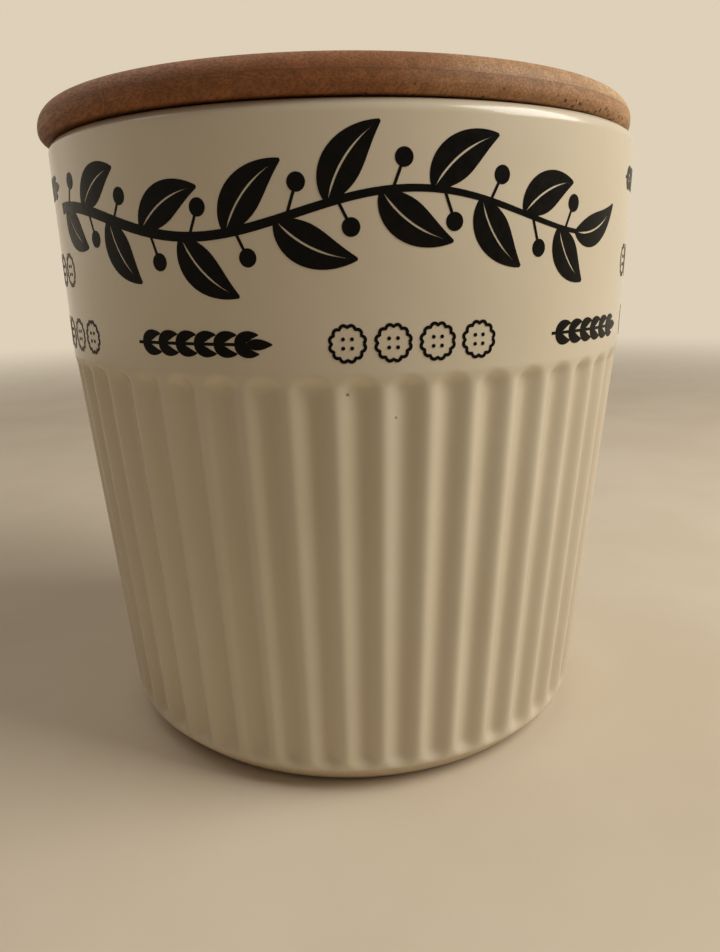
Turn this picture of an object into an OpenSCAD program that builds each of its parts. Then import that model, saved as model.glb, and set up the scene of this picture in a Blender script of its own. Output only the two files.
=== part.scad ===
// Biscuit jar: a glazed stoneware jar with a plain band above a fluted wall, and a
// bamboo lid glued up from strips, held in the mouth by a finned silicone seal.
// Millimetres, +Z up. The origin is the middle of the foot, on the surface it stands on.

/* [Jar] */
// Height of the rim above the surface that the jar stands on
jar_h = 164.2; // [130:0.1:220]
// Outer diameter at the rim, before its edge is rounded
rim_d = 161.8; // [150:0.1:190]
// Diameter over the flutes' ridges, carried down to the surface it stands on
base_d = 141.8; // [130:0.1:156]
// Thickness of the wall at the mouth and at the base
wall_t = 5.4; // [4.8:0.1:7]
// Thickness of the floor above the hollow under it
floor_t = 6.5; // [5:0.1:9]
// Rounding between the wall and the floor inside
floor_round = 12; // [6:0.5:18]
// Rounding of the outer bottom edge
base_round = 10.5; // [5:0.5:12]

/* [Rim and mouth] */
// Rounding of the rim's outer edge
rim_round = 3; // [2:0.1:3.5]
// Rounding of the rim's inner edge
lip_round = 1.5; // [0.8:0.1:2]
// How far the straight mouth goes on below the lid's plug
mouth_spare = 5; // [1:0.5:15]

/* [Foot ring] */
// Height of the ring that the jar stands on, under the rounded bottom edge
foot_h = 1.2; // [0.6:0.1:1.4]
// Depth of the hollow inside the foot ring
foot_recess = 1.5; // [0.8:0.1:2.5]
// Width of the ring that the jar stands on
foot_ring_w = 5; // [3:0.5:8]
// Width of the bevel inside the foot ring
foot_bevel = 1; // [0.5:0.1:2]

/* [Band] */
// Height of the plain band under the rim
band_h = 54.7; // [40:0.1:70]
// How much the band narrows at each side from the rim to its lower edge
band_taper = 1; // [0.2:0.1:2]
// How far the band stands out from the flutes' ridges
band_step = 0.5; // [0.3:0.1:1.2]
// Height of the soft slope under the band
band_slope = 1.5; // [1:0.1:5]

/* [Flutes] */
// Number of grooves round the wall
flute_n = 48; // [36:1:50]
// Width of a groove
flute_w = 7.2; // [4:0.1:7.8]
// Depth of a groove
flute_depth = 1.8; // [0.6:0.1:2.2]
// Gap between a groove's top end and the slope under the band
flute_top_gap = 0.2; // [0.1:0.1:5]
// Height of the middle of a groove's round foot end above the bottom edge's rounding
flute_foot_gap = 0; // [0:0.5:12]
// How far the grooves are turned round the jar's axis
flute_turn = -2; // [-3.7:0.1:3.7]

/* [Lid] */
// How far the lid stands out past the rim's diameter at each side
lid_over = 0.25; // [0:0.05:3]
// Thickness of one ply of strips: the board has two plies, and so has the plug
ply_t = 4.2; // [4.1:0.1:6]
// Rounding of the lid's upper edge
lid_top_round = 5.7; // [2:0.1:6]
// Rounding of the lid's lower edge
lid_foot_round = 2.3; // [1:0.1:2.6]
// How far the lid sits to one side on its soft seal
lid_shift = 1.8; // [0:0.1:2.2]
// Gap between the lid and the rim that the seal holds open
lid_gap = 0.3; // [0.2:0.1:1]
// Direction of the bamboo's grain, from the front towards the right
grain_angle = 25; // [-90:1:90]

/* [Plug and seal] */
// Gap between the plug and the mouth at each side when they share one axis
plug_play = 3; // [2.6:0.1:4]
// Rounding of the plug's lower edge
plug_round = 1.5; // [0.5:0.1:1.8]
// Thickness of the plug's lip above and below the groove that holds the seal
groove_lip = 2; // [1.9:0.1:2.2]
// Depth of the groove that holds the seal
groove_depth = 2.5; // [2:0.1:4]
// Running gap between the seal and the mouth or the groove
seal_gap = 0.3; // [0.2:0.05:0.5]
// Thickness of the seal's core where it is squeezed thinnest
seal_core = 0.9; // [0.6:0.1:1.6]
// Thickness of one of the seal's fins
fin_t = 0.7; // [0.5:0.1:1.1]

/* [Hidden] */
// Plies from the top of the lid down: the first two make the board, the last two the plug
PLY_NAMES = ["top_ply_strip_", "under_ply_strip_", "plug_ply_strip_", "plug_foot_strip_"];
// Strips in each ply. Odd and even numbers in turn set the joints half a strip over
PLY_STRIPS = [8, 9, 8, 7];
BOARD_PLIES = 2;
$fn = 96;

GLAZE = "ivory";
SEAL = "whitesmoke";
BAMBOO = ["peru", "sandybrown", "burlywood"];
FIN_COUNT = 3;
// Cutting shapes reach this far past what they cut
PAST = 1;

rim_r = rim_d / 2;
band_z = jar_h - band_h;
band_foot_r = rim_r - band_taper;
ridge_top_z = band_z - band_slope;
ridge_top_r = band_foot_r - band_step;
ridge_foot_r = base_d / 2;
band_lean = atan(band_taper / band_h);
wall_lean = atan((ridge_top_r - ridge_foot_r) / ridge_top_z);

board_r = rim_r + lid_over;
board_z = jar_h + lid_gap;
lid_top_z = board_z + BOARD_PLIES * ply_t;
plug_z = lid_top_z - len(PLY_STRIPS) * ply_t;
strip_w = 2 * board_r / PLY_STRIPS[0];

mouth_r = rim_r - wall_t;
mouth_z = plug_z - mouth_spare;
floor_z = foot_recess + floor_t;
cavity_foot_r = ridge_foot_r - wall_t;
cavity_lean = atan((mouth_r - cavity_foot_r) / mouth_z);

plug_r = mouth_r - plug_play;
groove_r = plug_r - groove_depth;
groove_z = plug_z + groove_lip;
groove_h = board_z - groove_lip - groove_z;

seal_z = groove_z + seal_gap;
seal_h = groove_h - 2 * seal_gap;
seal_r = mouth_r - seal_gap;
seal_bore_r = groove_r + seal_gap;
core_r = seal_bore_r + lid_shift + seal_core;
fin_pitch = (seal_h - fin_t) / (FIN_COUNT - 1);

// Radius of a leaning wall at height z, from its radius at height 0
function wall_r(foot_r, lean, z) = foot_r + z * tan(lean);
// Unit vector square to a leaning wall, pointing away from the axis
function wall_out(lean) = [cos(lean), -sin(lean)];

// What a true arc about c adds to an outline that cuts a corner off from a to b
module round_edge(c, r, a, corner, b) {
    intersection() {
        polygon([c, a, corner, b]);
        translate(c) circle(r = r);
    }
}

// The jar's section from its axis out
module jar_section() {
    rim_c = [rim_r - rim_round * tan(band_lean) - rim_round / cos(band_lean), jar_h - rim_round];
    rim_side = rim_c + rim_round * wall_out(band_lean);
    rim_top = [rim_c.x, jar_h];
    lip_c = [mouth_r + lip_round, jar_h - lip_round];
    lip_top = [lip_c.x, jar_h];
    lip_side = [mouth_r, lip_c.y];
    base_c = [wall_r(ridge_foot_r, wall_lean, base_round) - base_round / cos(wall_lean), base_round];
    base_foot = [base_c.x, 0];
    base_side = base_c + base_round * wall_out(wall_lean);
    foot_in_r = base_c.x - foot_ring_w;
    corner_r = wall_r(cavity_foot_r, cavity_lean, floor_z);

    polygon([
        [0, foot_recess],
        [foot_in_r - foot_bevel, foot_recess],
        [foot_in_r, 0],
        base_foot,
        base_side,
        [ridge_top_r, ridge_top_z],
        [band_foot_r, band_z],
        rim_side,
        rim_top,
        lip_top,
        lip_side,
        [mouth_r, mouth_z],
        [corner_r, floor_z],
        [0, floor_z],
    ]);
    round_edge(rim_c, rim_round, rim_side, [rim_r, jar_h], rim_top);
    round_edge(lip_c, lip_round, lip_top, [mouth_r, jar_h], lip_side);
    difference() {
        round_edge(base_c, base_round, base_foot, [ridge_foot_r, 0], base_side);
        translate([base_c.x, -PAST]) square([base_round, foot_h + PAST]);
    }
    floor_fillet(corner_r);
}

// The hollow corner between the wall and the floor inside
module floor_fillet(corner_r) {
    z = floor_z + floor_round;
    c = [wall_r(cavity_foot_r, cavity_lean, z) - floor_round / cos(cavity_lean), z];

    difference() {
        polygon([c, [c.x, floor_z], [corner_r, floor_z], c + floor_round * wall_out(cavity_lean)]);
        translate(c) circle(r = floor_round);
    }
}

// One groove's cutter: a round bar with ball ends that lies along the leaning wall
module flute_cutter() {
    bar_r = (pow(flute_w / 2, 2) + pow(flute_depth, 2)) / (2 * flute_depth);
    off_wall = bar_r - flute_depth;
    foot_z = base_round + flute_foot_gap;
    top_z = ridge_top_z - flute_top_gap - flute_w / 2;
    bar_l = (top_z - foot_z) / cos(wall_lean);
    foot_r = wall_r(ridge_foot_r, wall_lean, foot_z);

    translate([foot_r + off_wall * cos(wall_lean), 0, foot_z - off_wall * sin(wall_lean)])
        rotate([0, wall_lean, 0])
        rotate_extrude()
        intersection() {
            union() {
                square([bar_r, bar_l]);
                circle(r = bar_r);
                translate([0, bar_l]) circle(r = bar_r);
            }
            translate([0, -bar_r]) square([bar_r, bar_l + 2 * bar_r]);
        }
}

// The stoneware jar: base, foot ring, fluted wall, band and rim in one fired piece
module jar_body() {
    color(GLAZE)
        difference() {
            rotate_extrude() jar_section();
            for (i = [0 : flute_n - 1])
                rotate([0, 0, flute_turn + 360 / flute_n * (i + 0.5)]) flute_cutter();
        }
}

// The silicone seal as it sits squeezed: its fins share the mouth's axis, and its bore
// shares the lid's, so it is thinnest on the side to which the lid sits over
module seal_ring() {
    color(SEAL)
        difference() {
            translate([0, 0, seal_z])
                rotate_extrude() {
                    square([core_r, seal_h]);
                    for (i = [0 : FIN_COUNT - 1])
                        translate([0, i * fin_pitch]) square([seal_r, fin_t]);
                }
            translate([-lid_shift, 0, seal_z - PAST]) cylinder(r = seal_bore_r, h = seal_h + 2 * PAST);
        }
}

// The board's section, from the lid's own axis out
module board_section() {
    top_c = [board_r - lid_top_round, lid_top_z - lid_top_round];
    top_side = [board_r, top_c.y];
    top_face = [top_c.x, lid_top_z];
    foot_c = [board_r - lid_foot_round, board_z + lid_foot_round];
    foot_face = [foot_c.x, board_z];
    foot_side = [board_r, foot_c.y];

    polygon([[0, board_z], foot_face, foot_side, top_side, top_face, [0, lid_top_z]]);
    round_edge(top_c, lid_top_round, top_side, [board_r, lid_top_z], top_face);
    round_edge(foot_c, lid_foot_round, foot_face, [board_r, board_z], foot_side);
}

// The section of the plug under the board, with the groove for the seal
module plug_section() {
    c = [plug_r - plug_round, plug_z + plug_round];
    face = [c.x, plug_z];
    side = [plug_r, c.y];

    polygon([
        [0, plug_z],
        face,
        side,
        [plug_r, groove_z],
        [groove_r, groove_z],
        [groove_r, groove_z + groove_h],
        [plug_r, groove_z + groove_h],
        [plug_r, board_z],
        [0, board_z],
    ]);
    round_edge(c, plug_round, face, [plug_r, plug_z], side);
}

// One bamboo strip: what the turned lid keeps of it. Plies count from the top down, and
// strips from -X to +X before the grain is turned. The outermost run out to the edge.
module bamboo_strip(ply, i) {
    n = PLY_STRIPS[ply];
    in_board = ply < BOARD_PLIES;
    over = ply == 0 || ply == BOARD_PLIES ? PAST : 0;
    under = ply == BOARD_PLIES - 1 || ply == len(PLY_STRIPS) - 1 ? PAST : 0;
    edge = board_r + PAST;
    from_x = i == 1 ? -edge : (i - 1 - n / 2) * strip_w;
    to_x = i == n ? edge : (i - n / 2) * strip_w;
    from_z = lid_top_z - (ply + 1) * ply_t - under;

    color(BAMBOO[(i + ply) % len(BAMBOO)])
        translate([-lid_shift, 0, 0])
        rotate([0, 0, grain_angle])
        intersection() {
            rotate_extrude() if (in_board) board_section(); else plug_section();
            translate([from_x, -edge, from_z])
                cube([to_x - from_x, 2 * edge, ply_t + over + under]);
        }
}

jar_body();
seal_ring();
for (ply = [0 : len(PLY_STRIPS) - 1])
    for (i = [1 : PLY_STRIPS[ply]])
        bamboo_strip(ply, i);
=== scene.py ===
import math
import random

import bpy
from mathutils import Matrix, Vector


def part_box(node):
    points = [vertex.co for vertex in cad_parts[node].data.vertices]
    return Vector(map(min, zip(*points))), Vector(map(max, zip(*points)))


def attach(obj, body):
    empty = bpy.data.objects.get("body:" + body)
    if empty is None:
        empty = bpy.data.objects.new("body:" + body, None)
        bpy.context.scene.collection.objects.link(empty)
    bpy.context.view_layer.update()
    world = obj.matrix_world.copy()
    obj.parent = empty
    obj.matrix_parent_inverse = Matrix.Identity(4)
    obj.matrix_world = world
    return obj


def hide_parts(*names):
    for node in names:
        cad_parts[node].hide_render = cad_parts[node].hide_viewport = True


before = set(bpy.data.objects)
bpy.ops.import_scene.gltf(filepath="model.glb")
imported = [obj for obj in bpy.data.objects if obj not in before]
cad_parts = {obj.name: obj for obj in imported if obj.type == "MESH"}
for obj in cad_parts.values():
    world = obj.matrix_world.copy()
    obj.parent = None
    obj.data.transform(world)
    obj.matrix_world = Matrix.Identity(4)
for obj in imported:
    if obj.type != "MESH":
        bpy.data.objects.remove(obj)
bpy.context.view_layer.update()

# The camera stands a hand's length in front of the jar, a little below its rim, and looks
# down at it. Its axes are those of a hand-held shot, turned and rolled by about a degree.
camera_place = Vector((0, -0.2430, 0.1325))
camera_down = 0.2668
camera_turn = 0.0133
camera_roll = -0.0189
camera_lens_mm = 29.19

ahead = Vector((
    math.sin(camera_turn) * math.cos(camera_down),
    math.cos(camera_turn) * math.cos(camera_down),
    -math.sin(camera_down),
))
level = ahead.cross(Vector((0, 0, 1))).normalized()
upright = level.cross(ahead)
side = level * math.cos(camera_roll) + upright * math.sin(camera_roll)
above = upright * math.cos(camera_roll) - level * math.sin(camera_roll)
camera = bpy.data.objects.new("camera", bpy.data.cameras.new("camera"))
camera.matrix_world = Matrix.Translation(camera_place) @ Matrix((side, above, -ahead)).transposed().to_4x4()
camera.data.lens = camera_lens_mm
camera.data.sensor_width = 36
camera.data.clip_start = 0.01
bpy.context.scene.collection.objects.link(camera)
bpy.context.scene.camera = camera
bpy.context.scene.view_settings.view_transform = "Standard"


# The jar is one piece of slip-cast stoneware: foot ring, fluted wall, plain band and rim. It
# is dipped in an ivory glaze that is thin on the flutes' ridges and pools in their grooves,
# and its foot ring is wiped bare before it is fired. The strip below the base's crease is
# given part of the clay's colour, which paints the shade that falls under the base.
jar_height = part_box("jar_body")[1].z
rim_radius = 0.0809
wall = 0.0054
mouth_radius = rim_radius - wall
mouth_foot = 0.1511
rim_round = 0.003
lip_round = 0.0015
band_foot = jar_height - 0.0547
band_taper = 0.001
band_foot_radius = rim_radius - band_taper
band_slope = 0.0015
band_softness = 0.0012
ridge_top = band_foot - band_slope
band_step = 0.0005
ridge_top_radius = band_foot_radius - band_step
ridge_foot_radius = 0.0709
base_crease = 0.0068
base_edge_radius = 0.0660
crease_softness = 0.0022
# Share of the clay's colour on the strip below the base's crease: painted shade under the base.
foot_shade_share = 0.45
foot_radius = 0.0612
foot_height = 0.0010
foot_recess = 0.0015
foot_ring = 0.005
foot_bevel = 0.001
floor_top = 0.008
floor_round = 0.012
cavity_foot_radius = ridge_foot_radius - wall
flute_count = 48
flute_depth = 0.0020
flute_turn = math.radians(-2.0)
flute_top = 0.1104
flute_top_round = 0.0044
flute_foot = 0.0058
flute_foot_round = 0.0046
columns_per_flute = 16
wall_lean = math.atan((ridge_top_radius - ridge_foot_radius) / ridge_top)
band_lean = math.atan(band_taper / (jar_height - band_foot))
cavity_lean = math.atan((mouth_radius - cavity_foot_radius) / mouth_foot)


def smooth(t):
    """A soft step from 0 to 1."""
    t = min(1, max(0, t))
    return t * t * (3 - 2 * t)


def round_corner(middle, radius, start, end, steps):
    """Points on a rounded corner of an outline. Angles are in radians from straight outwards."""
    turns = [start + (end - start) * i / steps for i in range(steps + 1)]
    return [(middle[0] + radius * math.cos(a), middle[1] + radius * math.sin(a)) for a in turns]


def straight(start, end, steps):
    """Points on a straight stretch of an outline, without its two ends."""
    return [
        (start[0] + (end[0] - start[0]) * i / steps, start[1] + (end[1] - start[1]) * i / steps)
        for i in range(1, steps)
    ]


def soft_corner(corner, start, end, softness, steps):
    """Points that round a corner off, on the side of start first. softness is how far they set back."""
    corner = Vector(corner)
    low = corner + (Vector(start) - corner).normalized() * softness
    high = corner + (Vector(end) - corner).normalized() * softness
    shares = [i / steps for i in range(steps + 1)]
    return [tuple(low * (1 - t) ** 2 + corner * 2 * t * (1 - t) + high * t ** 2) for t in shares]


def band_radius(height):
    """Radius of the plain band at a height."""
    return band_foot_radius + (height - band_foot) * math.tan(band_lean)


def jar_outline():
    """The jar's outline from the middle of its underside round to the middle of its floor inside."""
    rim_centre = jar_height - rim_round
    rim_middle = (band_radius(rim_centre) - rim_round / math.cos(band_lean), rim_centre)
    lip_middle = (mouth_radius + lip_round, jar_height - lip_round)
    corner_height = floor_top + floor_round
    corner_radius = cavity_foot_radius + corner_height * math.tan(cavity_lean)
    floor_middle = (corner_radius - floor_round / math.cos(cavity_lean), corner_height)
    ring_inside = foot_radius - foot_ring
    quarter = math.pi / 2
    edge = 0.0002

    base_edge = (base_edge_radius, foot_height)
    crease = (ridge_foot_radius + base_crease * math.tan(wall_lean), base_crease)
    slope_foot = (ridge_top_radius, ridge_top - band_softness)
    slope_top = (band_foot_radius, band_foot + band_softness)
    base = soft_corner(crease, base_edge, slope_foot, crease_softness, 8)
    slope_rise = slope_top[1] - slope_foot[1]
    slope_turn = slope_top[0] - slope_foot[0]
    shares = [i / 8 for i in range(9)]
    slope = [(slope_foot[0] + slope_turn * smooth(t), slope_foot[1] + slope_rise * t) for t in shares]
    rim = round_corner(rim_middle, rim_round, -band_lean, quarter, 10)
    lip = round_corner(lip_middle, lip_round, quarter, math.pi, 6)
    corner = round_corner(floor_middle, floor_round, -cavity_lean, -quarter, 10)

    points = [(0, foot_recess)]
    points += straight((0, foot_recess), (ring_inside - foot_bevel, foot_recess), 4)
    points += [(ring_inside - foot_bevel, foot_recess), (ring_inside - edge, edge), (ring_inside, 0)]
    points += straight((ring_inside, 0), (foot_radius - edge, 0), 2)
    points += [(foot_radius - edge, 0), (foot_radius, edge), (foot_radius, foot_height - edge)]
    points += [(foot_radius + edge, foot_height), (base_edge[0] - edge, foot_height), base_edge]
    points += straight(base_edge, base[0], 6)
    points += base
    points += straight(base[-1], slope[0], 72)
    points += slope
    points += straight(slope[-1], rim[0], 8)
    points += rim
    points += lip
    points += [(mouth_radius, mouth_foot)]
    points += straight((mouth_radius, mouth_foot), corner[0], 5)
    points += corner
    points += straight(corner[-1], (0, floor_top), 4)
    return points + [(0, floor_top)]


def groove(turn, height):
    """How much of the flutes' depth is cut at an angle and a height: 0 on a ridge, 1 in a groove."""
    across = 2 * abs((turn - flute_turn) * flute_count / math.tau % 1 - 0.5)
    past_top = (height - flute_top + flute_top_round) / flute_top_round
    past_foot = (flute_foot + flute_foot_round - height) / flute_foot_round
    past = max(0, past_top, past_foot)
    return 0.5 + 0.5 * math.cos(math.pi * min(1, math.hypot(across, past)))


def turned_mesh(name, outline, columns, cut):
    """A mesh turned round the upright axis from an outline whose ends lie on it. cut gives how far
    a point's radius is drawn in, from its angle, its place in the outline and its height."""
    points = [(0, 0, outline[0][1])]
    for row, (radius, height) in enumerate(outline[1:-1]):
        for i in range(columns):
            turn = math.tau * i / columns
            drawn = radius - cut(turn, row, height)
            points.append((drawn * math.cos(turn), drawn * math.sin(turn), height))
    points.append((0, 0, outline[-1][1]))
    rows = len(outline) - 2
    last = len(points) - 1
    faces = [(0, 1 + (i + 1) % columns, 1 + i) for i in range(columns)]
    for row in range(rows - 1):
        low = 1 + row * columns
        for i in range(columns):
            j = (i + 1) % columns
            faces.append((low + i, low + j, low + columns + j, low + columns + i))
    top = 1 + (rows - 1) * columns
    faces += [(last, top + i, top + (i + 1) % columns) for i in range(columns)]
    mesh = bpy.data.meshes.new(name)
    mesh.from_pydata(points, [], faces)
    mesh.shade_smooth()
    return mesh


def node(tree, kind, inputs=None, **settings):
    """Adds a shader node. inputs holds constants, or the sockets that feed it, by name or number."""
    made = tree.nodes.new(kind)
    for name, value in settings.items():
        setattr(made, name, value)
    for key, value in (inputs or {}).items():
        if isinstance(value, bpy.types.NodeSocket):
            tree.links.new(value, made.inputs[key])
        else:
            made.inputs[key].default_value = value
    return made


def math_node(tree, operation, a, b=0.0):
    """One sum on two numbers or sockets, and its result."""
    return node(tree, "ShaderNodeMath", {0: a, 1: b}, operation=operation).outputs[0]


def total(tree, *parts):
    """The sum of several sockets."""
    whole = parts[0]
    for part in parts[1:]:
        whole = math_node(tree, "ADD", whole, part)
    return whole


def noise(tree, place, scale, detail):
    """Soft noise from 0 to 1. A larger scale makes it finer."""
    inputs = {"Vector": place, "Scale": scale, "Detail": detail}
    return node(tree, "ShaderNodeTexNoise", inputs).outputs["Fac"]


def relief(tree, shader, height, strength=1.0, distance=1.0):
    """Shapes the light on a surface as if it stood proud by height, which is in metres."""
    inputs = {"Strength": strength, "Distance": distance, "Height": height}
    bump = node(tree, "ShaderNodeBump", inputs)
    tree.links.new(bump.outputs["Normal"], shader.inputs["Normal"])


def between(tree, value, low, high, to_low=0.0, to_high=1.0):
    """value as it climbs from low to high, softly turned into to_low to to_high."""
    inputs = {"Value": value, "From Min": low, "From Max": high, "To Min": to_low, "To Max": to_high}
    return node(tree, "ShaderNodeMapRange", inputs, interpolation_type="SMOOTHSTEP").outputs["Result"]


def blend_colours(tree, amount, first, second):
    """first turned into second by amount, and the result's socket."""
    made = tree.nodes.new("ShaderNodeMix")
    made.data_type = "RGBA"
    for socket, value in ((made.inputs[0], amount), (made.inputs[6], first), (made.inputs[7], second)):
        if isinstance(value, bpy.types.NodeSocket):
            tree.links.new(value, socket)
        else:
            socket.default_value = value
    return made.outputs[2]


def colour(red, green, blue):
    """A colour given as it looks on a screen, from 0 to 255, as a shader takes it."""
    shares = [channel / 255 for channel in (red, green, blue)]
    return tuple(s / 12.92 if s <= 0.04045 else ((s + 0.055) / 1.055) ** 2.4 for s in shares) + (1,)


def new_material(name):
    """A material with its main shader, and the place on the piece that its patterns are fixed to."""
    material = bpy.data.materials.new(name)
    material.use_nodes = True
    tree = material.node_tree
    place = tree.nodes.new("ShaderNodeTexCoord").outputs["Object"]
    return material, tree, tree.nodes["Principled BSDF"], place


ivory = colour(214, 202, 177)
ivory_pooled = colour(202, 188, 160)
ivory_thin = colour(221, 210, 187)
bare_clay = colour(190, 165, 133)
dark_clay = colour(176, 150, 118)
speck_brown = colour(96, 70, 46)
glaze_ripple = 0.00022
speck_depth = 0.0002
grit_depth = 0.0001
glaze, tree, shader, place = new_material("ivory_glaze")
pool = node(tree, "ShaderNodeAttribute", attribute_name="pool").outputs["Fac"]
bare = node(tree, "ShaderNodeAttribute", attribute_name="bare").outputs["Fac"]
clouds = noise(tree, place, 28.0, 3.0)
body = blend_colours(tree, between(tree, clouds, 0.3, 0.7, 0.0, 0.55), ivory, ivory_thin)
body = blend_colours(tree, math_node(tree, "MULTIPLY", pool, 0.5), body, ivory_pooled)
cells = node(tree, "ShaderNodeTexVoronoi", {"Vector": place, "Scale": 95.0})
chosen = node(tree, "ShaderNodeSeparateColor", {"Color": cells.outputs["Color"]}).outputs["Red"]
rare = between(tree, chosen, 0.90, 0.92)
pin = math_node(tree, "MULTIPLY", between(tree, cells.outputs["Distance"], 0.055, 0.02), rare)
body = blend_colours(tree, math_node(tree, "MULTIPLY", pin, 0.75), body, speck_brown)
grit = noise(tree, place, 1500.0, 2.0)
# The clay's colour covers the bare foot ring, and part of the strip below the crease, where it is painted
# shade.
clay_and_foot_shade = blend_colours(tree, between(tree, grit, 0.35, 0.65), bare_clay, dark_clay)
tree.links.new(blend_colours(tree, bare, body, clay_and_foot_shade), shader.inputs["Base Color"])
ripple = noise(tree, place, 60.0, 2.0)
gloss = between(tree, ripple, 0.3, 0.7, 0.16, 0.24)
rough = node(tree, "ShaderNodeMix", {0: bare, 2: gloss, 3: 0.85}).outputs[0]
tree.links.new(rough, shader.inputs["Roughness"])
swell = math_node(tree, "MULTIPLY", ripple, glaze_ripple)
dent = math_node(tree, "MULTIPLY", pin, -speck_depth)
grain = math_node(tree, "MULTIPLY", math_node(tree, "MULTIPLY", grit, bare), grit_depth)
relief(tree, shader, total(tree, swell, dent, grain))
shader.inputs["IOR"].default_value = 1.52

outline = jar_outline()
jar_rows = outline[1:-1]
outer_rows = next(i for i, (radius, height) in enumerate(jar_rows) if height > jar_height - rim_round)
random.seed(7)
shallowest = 0.93
flute_cuts = [flute_depth * random.uniform(shallowest, 1.0) for _ in range(flute_count)]


def flute_cut(turn, row, height):
    """How far a point of the outer wall is drawn in by the groove that it lies in."""
    if row > outer_rows:
        return 0
    flute = int((turn - flute_turn) * flute_count / math.tau) % flute_count
    return flute_cuts[flute] * groove(turn, height)


columns = flute_count * columns_per_flute
jar = bpy.data.objects.new("fluted_jar", turned_mesh("fluted_jar", outline, columns, flute_cut))
bpy.context.scene.collection.objects.link(jar)
pooled = jar.data.attributes.new("pool", "FLOAT", "POINT")
wiped_and_shaded = jar.data.attributes.new("bare", "FLOAT", "POINT")
for row, (radius, height) in enumerate(jar_rows):
    for i in range(columns):
        point = 1 + row * columns + i
        if row <= outer_rows:
            pooled.data[point].value = groove(math.tau * i / columns, height)
        # The foot ring's underside is bare. The strip below the crease takes part of the clay's colour as
        # painted shade.
        if height == 0:
            wiped_and_shaded.data[point].value = 1.0
        elif height < base_crease:
            wiped_and_shaded.data[point].value = foot_shade_share
jar.data.materials.append(glaze)
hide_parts("jar_body")
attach(jar, "jar")


# The print on the band is black enamel fired onto the glaze: a leafy branch on the front and
# on the back, and small sprigs and round biscuits beside and below them.
print_proud = 0.00006
stroke_step = 0.000004
print_sunk = 0.00008
branch_height = 0.1430
branch_from = -0.083
branch_to = 0.058
stem_wave = 0.0042
stem_wave_length = 0.094
leaf_count = 13
leaf_length = 0.0185
leaf_half_width = 0.0041
leaf_vein = 0.00022
berry_radius = 0.0019
sprig_length = 0.030
biscuit_radius = 0.0034
biscuit_pitch = 0.0098
biscuit_line = 0.00036
row_height = 0.1166
row_motifs = 10
row_start = 0.0148
beside_branch = 0.026

enamel_black = colour(9, 8, 6)
enamel_worn = colour(17, 14, 12)
enamel, tree, shader, place = new_material("black_enamel")
wear = noise(tree, place, 420.0, 4.0)
ink = blend_colours(tree, between(tree, wear, 0.35, 0.75), enamel_black, enamel_worn)
tree.links.new(ink, shader.inputs["Base Color"])
tree.links.new(between(tree, wear, 0.3, 0.7, 0.26, 0.36), shader.inputs["Roughness"])
ripple = noise(tree, place, 60.0, 2.0)
relief(tree, shader, math_node(tree, "MULTIPLY", ripple, glaze_ripple))
shader.inputs["IOR"].default_value = 1.4
shader.inputs["Specular IOR Level"].default_value = 0.09


def on_band(along, height, proud):
    """A point that stands proud of the band, at a distance round the rim from the front."""
    turn = along / rim_radius
    radius = band_radius(height) + proud
    return (radius * math.sin(turn), -radius * math.cos(turn), height)


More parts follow.
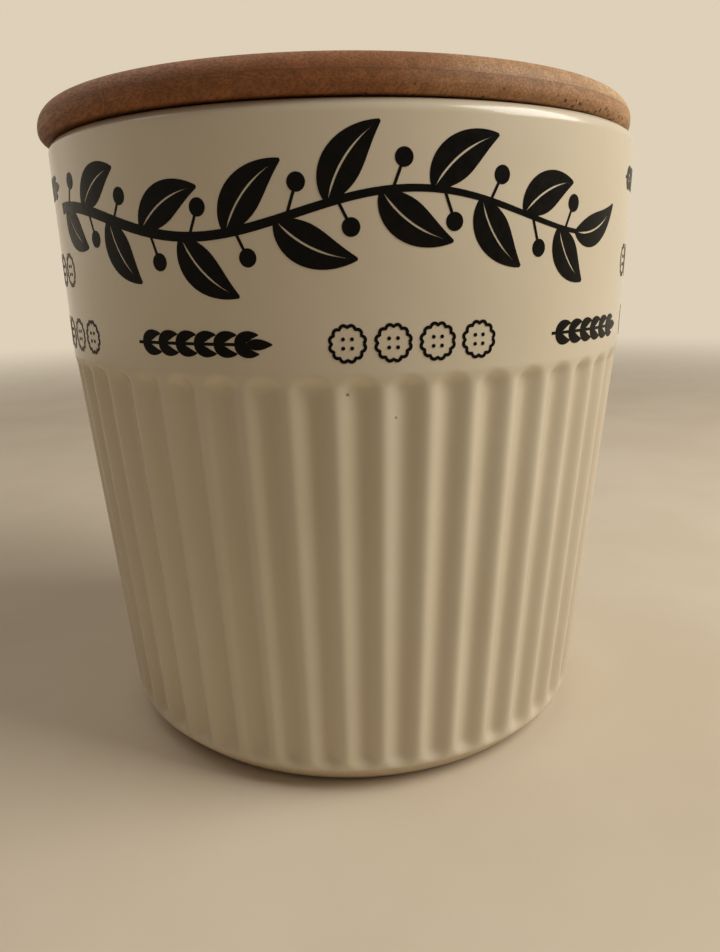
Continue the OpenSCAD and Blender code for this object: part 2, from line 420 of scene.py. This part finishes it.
class Print:
    """The brush strokes of one printed motif, gathered into one mesh."""

    def __init__(self):
        self.points = []
        self.faces = []
        self.laid = 0

    def ribbon(self, path, low, high, steps):
        """Lays enamel along a path. low and high give how far its two edges lie to the path's left."""
        proud = print_proud + stroke_step * (self.laid % 6)
        self.laid += 1
        shares = (0, 0.25, 0.5, 0.75, 1)
        size = len(shares) + 2
        first = len(self.points)
        for k in range(steps + 1):
            t = k / steps
            here = Vector(path(t))
            heading = Vector(path(min(1, t + 0.004))) - Vector(path(max(0, t - 0.004)))
            heading.normalize()
            across = Vector((-heading.y, heading.x))
            spots = [here + across * (low(t) + (high(t) - low(t)) * share) for share in shares]
            section = [(spot, proud) for spot in spots]
            section = [(spots[0], -print_sunk)] + section + [(spots[-1], -print_sunk)]
            self.points += [on_band(spot.x, spot.y, out) for spot, out in section]
        for k in range(steps):
            a = first + k * size
            for j in range(size):
                n = (j + 1) % size
                self.faces.append((a + j, a + n, a + size + n, a + size + j))
        end = first + steps * size
        self.faces.append(tuple(first + j for j in reversed(range(size))))
        self.faces.append(tuple(end + j for j in range(size)))

    def stroke(self, path, half_width, steps):
        """Lays one stroke of enamel as wide to the left of its path as to the right."""
        self.ribbon(path, lambda t: -half_width(t), half_width, steps)

    def leaf(self, foot, heading, length, half_width, bend, vein=0.0):
        """Lays a pointed leaf that sets off along heading and bends. A vein shows bare glaze."""

        def path(t):
            turn = heading + bend * t
            return (foot[0] + length * t * math.cos(turn), foot[1] + length * t * math.sin(turn))

        def width(t):
            return half_width * math.sin(math.pi * (0.015 + 0.97 * t) ** 0.8) ** 0.9 + 0.00005

        def bare(t):
            return min(vein * smooth(t / 0.2) * smooth((0.95 - t) / 0.4), 0.6 * width(t))

        if vein:
            self.ribbon(path, bare, width, 28)
            self.ribbon(path, lambda t: -width(t), lambda t: -bare(t), 28)
        else:
            self.stroke(path, width, 18)

    def dot(self, middle, radius):
        """Lays a round dot."""

        def path(t):
            return (middle[0] - radius * math.cos(math.pi * (0.03 + 0.94 * t)), middle[1])

        def width(t):
            return radius * math.sin(math.pi * (0.03 + 0.94 * t))

        self.stroke(path, width, 14)

    def ring(self, middle, radius, half_width, waves=0, wave=0.0):
        """Lays a closed line round a middle, scalloped where waves is set."""

        def path(t):
            turn = math.tau * t
            reach = radius + wave * abs(math.sin(waves * turn / 2))
            return (middle[0] + reach * math.cos(turn), middle[1] + reach * math.sin(turn))

        self.stroke(path, lambda t: half_width, 72)

    def piece(self, name):
        """Makes the strokes into one piece that is fired onto the jar."""
        mesh = bpy.data.meshes.new(name)
        mesh.from_pydata(self.points, [], self.faces)
        mesh.shade_smooth()
        mesh.set_sharp_from_angle(angle=math.radians(30))
        made = bpy.data.objects.new(name, mesh)
        bpy.context.scene.collection.objects.link(made)
        made.data.materials.append(enamel)
        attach(made, "jar")


def stem(along):
    """Height of a branch's stem at a distance along it."""
    return branch_height + stem_wave * math.sin(math.tau * along / stem_wave_length + 0.6)


def branch(middle):
    """A leafy branch, whose leaves stand in turn above and below its wavy stem."""
    strokes = Print()
    length = branch_to - branch_from

    def path(t):
        along = branch_from + length * t
        return (middle + along, stem(along))

    strokes.stroke(path, lambda t: 0.0013 - 0.0008 * t, 90)
    for k in range(leaf_count):
        t = (k + 0.35) / leaf_count
        along = branch_from + length * t
        lean = math.atan((stem(along + 0.001) - stem(along - 0.001)) / 0.002)
        way = 1 if k % 2 else -1
        reach = leaf_length - 0.004 * (2 * t - 1) ** 2
        foot = (middle + along, stem(along))
        strokes.leaf(foot, lean + way * 1.12, reach, leaf_half_width, -way * 0.42, leaf_vein)
        berry = (middle + along + 0.0046, stem(along + 0.0046) - way * 0.0058)
        strokes.stroke(
            lambda s, b=berry, a=along: (b[0] - 0.0024 * (1 - s), stem(a) + (b[1] - stem(a)) * s),
            lambda s: 0.00032, 6,
        )
        strokes.dot(berry, berry_radius)
    strokes.leaf((middle + branch_to - 0.001, stem(branch_to)), -0.15, 0.019, 0.0036, 0.5, leaf_vein)
    return strokes


def sprig(strokes, middle, height):
    """A small sprig: a thin stem with pairs of narrow leaves."""
    strokes.stroke(lambda t: (middle + sprig_length * (t - 0.5), height), lambda t: 0.00035, 16)
    for k in range(6):
        along = middle + sprig_length * ((k + 0.3) / 6 - 0.5)
        for way in (-1, 1):
            strokes.leaf((along, height), way * 0.85, 0.0058, 0.00115, -way * 0.5)
    strokes.leaf((middle + sprig_length / 2 - 0.001, height), 0, 0.006, 0.00115, 0.0)


def biscuits(strokes, middle, height):
    """A few round biscuits in a row, with scalloped edges and holes."""
    for k in (-1.5, -0.5, 0.5, 1.5):
        spot = middle + k * biscuit_pitch
        strokes.ring((spot, height), biscuit_radius, biscuit_line, waves=12, wave=0.0005)
        for quarter_turn in range(4):
            turn = math.pi / 4 + quarter_turn * math.pi / 2
            hole = (spot + 0.00135 * math.cos(turn), height + 0.00135 * math.sin(turn))
            strokes.dot(hole, 0.00042)


half_round = math.pi * rim_radius
branch(0.0).piece("front_branch")
branch(half_round).piece("back_branch")
small_prints = Print()
for k in range(row_motifs):
    middle = row_start + k * math.tau * rim_radius / row_motifs
    (sprig if k % 2 else biscuits)(small_prints, middle, row_height)
for half in (0, half_round):
    gap = branch_to + beside_branch + half
    for step, (height, motif) in enumerate(((0.1525, sprig), (0.1325, biscuits))):
        for further in (0.016, 0.066):
            motif(small_prints, gap + 0.006 * step + further, height)
small_prints.piece("small_prints")


# The seal is a ring of milky silicone, moulded with three soft fins. It is stretched into the
# groove round the lid's plug, and its fins hold the lid in the jar's mouth.
seal_low, seal_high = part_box("seal_ring")
seal_radius = seal_high.x
lid_shift = -0.0018
bore_radius = 0.0703
core_radius = 0.0730
fin_thickness = 0.0007
fin_count = 3
fin_pitch = (seal_high.z - seal_low.z - fin_thickness) / (fin_count - 1)
seal_columns = 192

silicone, tree, shader, place = new_material("milky_silicone")
haze = noise(tree, place, 160.0, 4.0)
milk = blend_colours(tree, between(tree, haze, 0.3, 0.7), colour(228, 225, 214), colour(240, 238, 230))
tree.links.new(milk, shader.inputs["Base Color"])
tree.links.new(between(tree, haze, 0.3, 0.7, 0.42, 0.55), shader.inputs["Roughness"])
dust = noise(tree, place, 2600.0, 2.0)
relief(tree, shader, dust, strength=0.4, distance=0.00005)
shader.inputs["Subsurface Weight"].default_value = 0.25
shader.inputs["Subsurface Radius"].default_value = (0.004, 0.0036, 0.003)
shader.inputs["IOR"].default_value = 1.41


def seal_section():
    """The ring's section outside its bore, from the bottom up, as (radius, height)."""
    points = []
    for k in range(fin_count):
        foot = seal_low.z + k * fin_pitch
        half = fin_thickness / 2
        tip = round_corner((seal_radius - half, foot + half), half, -math.pi / 2, math.pi / 2, 8)
        points += [(core_radius, foot)] + tip + [(core_radius, foot + fin_thickness)]
        if k < fin_count - 1:
            valley = fin_pitch - fin_thickness
            points += [(core_radius - 0.0001, foot + fin_thickness + valley / 2)]
    return points


section = seal_section()
points = []
faces = []
for i in range(seal_columns):
    turn = math.tau * i / seal_columns
    bore = lid_shift * math.cos(turn) + math.sqrt(bore_radius ** 2 - (lid_shift * math.sin(turn)) ** 2)
    inner = [(bore, seal_high.z - 0.0002), (bore, seal_low.z + 0.0002), (bore + 0.0002, seal_low.z)]
    for radius, height in section + [(bore + 0.0002, seal_high.z)] + inner:
        points.append((radius * math.cos(turn), radius * math.sin(turn), height))
size = len(points) // seal_columns
for i in range(seal_columns):
    a = i * size
    b = (i + 1) % seal_columns * size
    for j in range(size):
        n = (j + 1) % size
        faces.append((a + j, b + j, b + n, a + n))
mesh = bpy.data.meshes.new("finned_seal")
mesh.from_pydata(points, [], faces)
mesh.shade_smooth()
seal = bpy.data.objects.new("finned_seal", mesh)
bpy.context.scene.collection.objects.link(seal)
seal.data.materials.append(silicone)
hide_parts("seal_ring")
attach(seal, "seal")


# The lid's strips are split from caramelised bamboo and glued up in four plies, two for the
# board and two for the plug. The block is turned round, sanded and oiled, so the strips' ends
# show as dots at the front right and their sides as long fibres at the left. The board's
# strips are painted from caramel at -X to straw at +X, where the key lamp shines, which is
# painted light. The plug's strips differ in tone at random.
# Tones at the strips' sides. On the board's plies they climb from caramel at -X to straw at +X, painted
# light from the key lamp. The plug's tones vary at random.
ply_tones_and_light = {
    "top_ply_strip_": (0.0, 0.0, 0.0, 0.05, 0.44, 0.55, 0.85, 0.95, 0.5),
    "under_ply_strip_": (0.0, 0.0, 0.0, 0.0, 0.2, 0.26, 0.38, 0.55, 0.4, 0.2),
    "plug_ply_strip_": (0.4, 0.6, 0.3, 0.5, 0.7, 0.4, 0.6, 0.5, 0.4),
    "plug_foot_strip_": (0.5, 0.3, 0.6, 0.4, 0.5, 0.7, 0.3, 0.4),
}
caramel = colour(154, 99, 60)
straw = colour(232, 192, 144)
end_black = colour(30, 22, 17)
fibre_dark = 0.42
fibre_stretch = (0.8, 0.018, 1)
grain_turn = math.radians(25)
board_radius = 0.08115
board_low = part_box("under_ply_strip_1")[0].z
board_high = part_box("top_ply_strip_1")[1].z
ply_thickness = (board_high - board_low) / 2
strips_across = 8
strip_width = 2 * board_radius / strips_across
knuckle_width = 0.0011
knuckle_wobble = 0.0016
knuckle_nearest = 0.01
knuckle_furthest = 0.06
seam_stain = 0.0014
glue_half_width = 0.00007


def deeper(tint):
    """A colour as it looks in the dark of a fibre."""
    return tuple(channel * fibre_dark for channel in tint[:3]) + (1,)


def offset(tree, value, mark):
    """How far a coordinate is from a mark."""
    return math_node(tree, "ABSOLUTE", math_node(tree, "SUBTRACT", value, mark))


def glue_lines(tree, split, ply, first_edge):
    """1 on the glue that meets a strip at its two sides, its top and its underside."""
    top = board_high - ply * ply_thickness
    lines = [offset(tree, split.outputs["X"], edge) for edge in (first_edge, first_edge + strip_width)]
    lines += [offset(tree, split.outputs["Z"], seam) for seam in (top, top - ply_thickness)]
    nearest = lines[0]
    for line in lines[1:]:
        nearest = math_node(tree, "MINIMUM", nearest, line)
    return between(tree, nearest, glue_half_width * 1.6, glue_half_width * 0.6)


def end_dots(tree, place):
    """1 on the dark ends of fibres, low in the board's edge at its front. They gather towards +X."""
    dots = node(tree, "ShaderNodeTexVoronoi", {"Vector": place, "Scale": 640.0})
    pick = node(tree, "ShaderNodeSeparateColor", {"Color": dots.outputs["Color"]}).outputs["Red"]
    sides = node(tree, "ShaderNodeSeparateXYZ", {0: place})
    kept = math_node(tree, "LESS_THAN", pick, between(tree, sides.outputs["X"], 0.0, 0.06, 0.0, 0.8))
    dot = math_node(tree, "MULTIPLY", between(tree, dots.outputs["Distance"], 0.36, 0.2), kept)
    low = between(tree, sides.outputs["Z"], board_low + 0.0024, board_low + 0.0012)
    front = between(tree, sides.outputs["Y"], -0.025, -0.035)
    return math_node(tree, "MULTIPLY", dot, math_node(tree, "MULTIPLY", low, front))


def bamboo(name, ply, tones, first_edge, knuckle):
    """Bamboo for one strip. Its tones at its two sides lie between caramel and straw. On the board
    they climb towards +X as painted light. Its fibres run along it, its glue lines lie at
    first_edge and a strip further, and a knuckle crosses it."""
    material, tree, shader, place = new_material(name)
    luck = random.Random(name)
    own = [luck.uniform(-9, 9) for _ in range(3)]
    shifted = {0: place, 1: (-lid_shift, 0, 0)}
    centred = node(tree, "ShaderNodeVectorMath", shifted, operation="ADD").outputs[0]
    spin = {"Vector": centred, "Angle": -grain_turn}
    turned = node(tree, "ShaderNodeVectorRotate", spin, rotation_type="Z_AXIS").outputs[0]
    moved = node(tree, "ShaderNodeVectorMath", {0: turned, 1: own}, operation="ADD").outputs[0]
    stretched = node(tree, "ShaderNodeMapping", {"Vector": moved, "Scale": fibre_stretch}).outputs[0]
    split = node(tree, "ShaderNodeSeparateXYZ", {0: turned})

    across = {0: split.outputs["X"], 1: 1 / strip_width, 2: -first_edge / strip_width}
    from_side = node(tree, "ShaderNodeMath", across, operation="MULTIPLY_ADD").outputs[0]
    # The tone across a strip. On the board it paints the light that falls from +X.
    tone = between(tree, from_side, 0.0, 1.0, tones[0], tones[1])
    tint = blend_colours(tree, tone, caramel, straw)
    deep = blend_colours(tree, tone, deeper(caramel), deeper(straw))
    fibre = noise(tree, stretched, 2300.0, 2.0)
    streak = noise(tree, stretched, 420.0, 4.0)
    bundles = node(tree, "ShaderNodeTexVoronoi", {"Vector": stretched, "Scale": 2100.0}).outputs["Distance"]
    bundle = between(tree, bundles, 0.42, 0.18)
    wood = blend_colours(tree, between(tree, streak, 0.35, 0.65, 0.0, 0.4), tint, deep)
    wood = blend_colours(tree, between(tree, fibre, 0.4, 0.62, 0.0, 0.55), wood, deep)
    wood = blend_colours(tree, math_node(tree, "MULTIPLY", bundle, 0.45), wood, deep)

    wobble = math_node(tree, "SUBTRACT", noise(tree, moved, 220.0, 2.0), 0.5)
    along = math_node(tree, "ADD", split.outputs["Y"], math_node(tree, "MULTIPLY", wobble, knuckle_wobble))
    on_knuckle = between(tree, offset(tree, along, knuckle), knuckle_width, knuckle_width * 0.2)
    wood = blend_colours(tree, math_node(tree, "MULTIPLY", on_knuckle, 0.5), wood, deep)
    off_seam = offset(tree, split.outputs["Z"], board_high - ply_thickness)
    near_seam = between(tree, off_seam, seam_stain, 0.0)
    wood = blend_colours(tree, math_node(tree, "MULTIPLY", near_seam, 0.3), wood, deep)
    glue = glue_lines(tree, split, ply, first_edge)
    wood = blend_colours(tree, math_node(tree, "MULTIPLY", glue, 0.4), wood, deep)
    dots = math_node(tree, "MULTIPLY", end_dots(tree, place), 0.85)
    tree.links.new(blend_colours(tree, dots, wood, end_black), shader.inputs["Base Color"])
    tree.links.new(between(tree, fibre, 0.3, 0.7, 0.5, 0.64), shader.inputs["Roughness"])

    heights = ((fibre, -0.00003), (bundle, -0.000012), (glue, -0.00003), (on_knuckle, 0.00004))
    parts = [math_node(tree, "MULTIPLY", part, height) for part, height in heights]
    relief(tree, shader, total(tree, *parts))
    shader.inputs["IOR"].default_value = 1.3
    return material


for ply, (start, tones) in enumerate(ply_tones_and_light.items()):
    count = len(tones) - 1
    for number in range(1, count + 1):
        name = start + str(number)
        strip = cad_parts[name]
        first_edge = (number - 1 - count / 2) * strip_width
        knuckle = random.Random(name).uniform(knuckle_nearest, knuckle_furthest)
        if number > 2 and number % 2 == 0:
            knuckle = -knuckle
        wood = bamboo(name, ply, tones[number - 1:number + 1], first_edge, knuckle)
        if not strip.data.materials:
            strip.data.materials.append(wood)
        for slot in strip.material_slots:
            slot.material = wood


# The jar stands on a pale floor that fades into the backdrop. A broad soft lamp stands high at
# the right, two weak ones above and at the left, and the studio's own light fills the rest.
floor_reach = 1.4
floor_fade = 0.5
floor_colour = colour(222, 209, 187)
floor_shade = colour(217, 203, 180)
floor_sides = 24
floor_steps = 4
backdrop = colour(222, 208, 185)

ground, tree, shader, place = new_material("pale_floor")
mottle = noise(tree, place, 14.0, 6.0)
paper = blend_colours(tree, between(tree, mottle, 0.3, 0.7), floor_colour, floor_shade)
tree.links.new(paper, shader.inputs["Base Color"])
shader.inputs["Roughness"].default_value = 0.75
shader.inputs["Specular IOR Level"].default_value = 0.0
distance = node(tree, "ShaderNodeVectorMath", {0: place}, operation="LENGTH").outputs["Value"]
fade = between(tree, distance, floor_fade, floor_reach * 0.95)
clear = tree.nodes.new("ShaderNodeBsdfTransparent")
faded = node(tree, "ShaderNodeMixShader", {0: fade, 1: shader.outputs[0], 2: clear.outputs[0]})
tree.links.new(faded.outputs[0], tree.nodes["Material Output"].inputs["Surface"])
points = [(0, 0, 0)]
for step in range(1, floor_steps + 1):
    reach = floor_reach * step / floor_steps
    for i in range(floor_sides):
        turn = math.tau * i / floor_sides
        points.append((reach * math.cos(turn), reach * math.sin(turn), 0))
faces = [(0, 1 + i, 1 + (i + 1) % floor_sides) for i in range(floor_sides)]
for step in range(floor_steps - 1):
    near = 1 + step * floor_sides
    far = near + floor_sides
    for i in range(floor_sides):
        j = (i + 1) % floor_sides
        faces.append((near + i, far + i, far + j, near + j))
mesh = bpy.data.meshes.new("floor")
mesh.from_pydata(points, [], faces)
floor = bpy.data.objects.new("floor", mesh)
bpy.context.scene.collection.objects.link(floor)
floor.data.materials.append(ground)

world = bpy.data.worlds.new("studio")
world.use_nodes = True
bpy.context.scene.world = world
tree = world.node_tree
fill = tree.nodes["Background"]
fill_tint = (1.0, 0.85, 0.75, 1)
fill.inputs["Color"].default_value = fill_tint
fill_strength = 0.139
fill.inputs["Strength"].default_value = fill_strength
seen = node(tree, "ShaderNodeBackground", {"Color": backdrop, "Strength": 1.0})
rays = tree.nodes.new("ShaderNodeLightPath")
shown = math_node(tree, "MAXIMUM", rays.outputs["Is Camera Ray"], rays.outputs["Is Glossy Ray"])
shown = math_node(tree, "MAXIMUM", shown, rays.outputs["Is Transmission Ray"])
mixed = node(tree, "ShaderNodeMixShader", {0: shown, 1: fill.outputs[0], 2: seen.outputs[0]})
tree.links.new(mixed.outputs[0], tree.nodes["World Output"].inputs["Surface"])


def soft_lamp(name, place, aim, width, height, watts, tint):
    """A broad rectangular lamp that faces a point."""
    lamp = bpy.data.lights.new(name, "AREA")
    lamp.shape = "RECTANGLE"
    lamp.size = width
    lamp.size_y = height
    lamp.energy = watts
    lamp.color = tint
    made = bpy.data.objects.new(name, lamp)
    made.location = place
    made.rotation_euler = (Vector(aim) - Vector(place)).to_track_quat("-Z", "Y").to_euler()
    bpy.context.scene.collection.objects.link(made)


lamp_tint = (1.0, 0.965, 0.905)
key_power = 7.8
top_power = 2.6
left_power = 0.25
key_place = (0.725, -0.165, 0.675)
soft_lamp("key_lamp", key_place, (0, 0, 0.09), 0.6, 0.6, key_power, lamp_tint)
top_place = (-0.5, 0.2, 1.1)
soft_lamp("top_lamp", top_place, (0, 0, 0), 0.9, 0.9, top_power, lamp_tint)
left_place = (-0.75, 0.2, 0.45)
soft_lamp("left_lamp", left_place, (0, 0, 0.08), 0.7, 0.7, left_power, lamp_tint)
